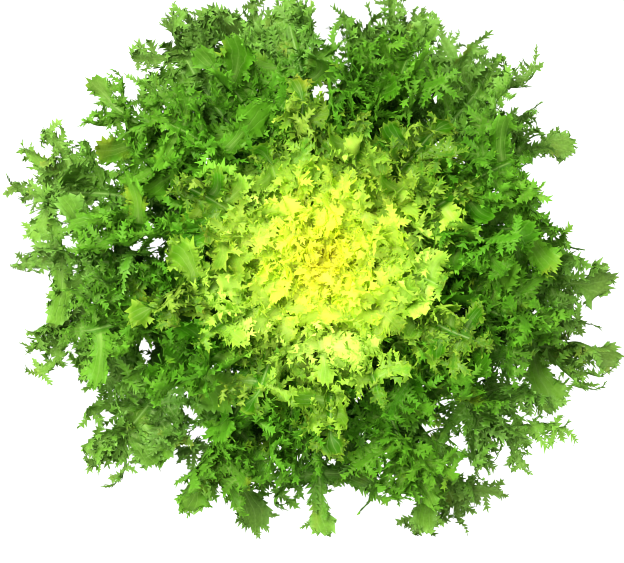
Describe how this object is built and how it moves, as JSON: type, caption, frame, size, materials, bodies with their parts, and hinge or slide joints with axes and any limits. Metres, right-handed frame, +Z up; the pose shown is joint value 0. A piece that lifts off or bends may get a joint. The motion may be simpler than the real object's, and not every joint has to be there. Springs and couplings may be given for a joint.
{
  "type": "curly endive head",
  "caption": "Whole head of curly endive resting on its cut stem: toothed, frilled green leaves open in a spiral round a dense yellow heart.",
  "frame": {"origin": "middle of the cut face at the foot of the stem, on the surface that the head rests on", "axes": "+Z up along the stem, from the cut face to the heart; +X to the right and +Y away as the head is seen from above, -Y being the side nearest the viewer"},
  "size_m": [0.3739, 0.3335, 0.1197],
  "materials": {
    "outer_leaf": "deep green leaf, slightly waxy, with a pale rib",
    "middle_leaf": "mid green leaf, slightly waxy, with a pale rib",
    "inner_leaf": "light yellow-green leaf with a white rib",
    "heart_leaf": "pale yellow blanched leaf with a white rib",
    "stem": "cream stem, moist, with a browned cut face"
  },
  "bodies": {
    "root": {"stem_butt": "stem", "outer_leaf_01": "outer_leaf", "outer_leaf_02": "outer_leaf", "outer_leaf_03": "outer_leaf", "outer_leaf_04": "outer_leaf", "outer_leaf_05": "outer_leaf", "outer_leaf_06": "outer_leaf", "outer_leaf_07": "outer_leaf", "outer_leaf_08": "outer_leaf", "outer_leaf_09": "outer_leaf", "outer_leaf_10": "outer_leaf", "outer_leaf_11": "outer_leaf", "outer_leaf_12": "outer_leaf", "outer_leaf_13": "outer_leaf", "outer_leaf_14": "outer_leaf", "outer_leaf_15": "outer_leaf", "outer_leaf_16": "outer_leaf", "middle_leaf_01": "middle_leaf", "middle_leaf_02": "middle_leaf", "middle_leaf_03": "middle_leaf", "middle_leaf_04": "middle_leaf", "middle_leaf_05": "middle_leaf", "middle_leaf_06": "middle_leaf", "middle_leaf_07": "middle_leaf", "middle_leaf_08": "middle_leaf", "middle_leaf_09": "middle_leaf", "middle_leaf_10": "middle_leaf", "middle_leaf_11": "middle_leaf", "middle_leaf_12": "middle_leaf", "middle_leaf_13": "middle_leaf", "middle_leaf_14": "middle_leaf", "middle_leaf_15": "middle_leaf", "middle_leaf_16": "middle_leaf", "inner_leaf_01": "inner_leaf", "inner_leaf_02": "inner_leaf", "inner_leaf_03": "inner_leaf", "inner_leaf_04": "inner_leaf", "inner_leaf_05": "inner_leaf", "inner_leaf_06": "inner_leaf", "inner_leaf_07": "inner_leaf", "inner_leaf_08": "inner_leaf", "inner_leaf_09": "inner_leaf", "inner_leaf_10": "inner_leaf", "inner_leaf_11": "inner_leaf", "inner_leaf_12": "inner_leaf", "inner_leaf_13": "inner_leaf", "inner_leaf_14": "inner_leaf", "heart_leaf_01": "heart_leaf", "heart_leaf_02": "heart_leaf", "heart_leaf_03": "heart_leaf", "heart_leaf_04": "heart_leaf", "heart_leaf_05": "heart_leaf", "heart_leaf_06": "heart_leaf", "heart_leaf_07": "heart_leaf", "heart_leaf_08": "heart_leaf", "heart_leaf_09": "heart_leaf", "heart_leaf_10": "heart_leaf", "heart_leaf_11": "heart_leaf", "heart_leaf_12": "heart_leaf", "heart_bud": "heart_leaf"}
  },
  "joints": []
}
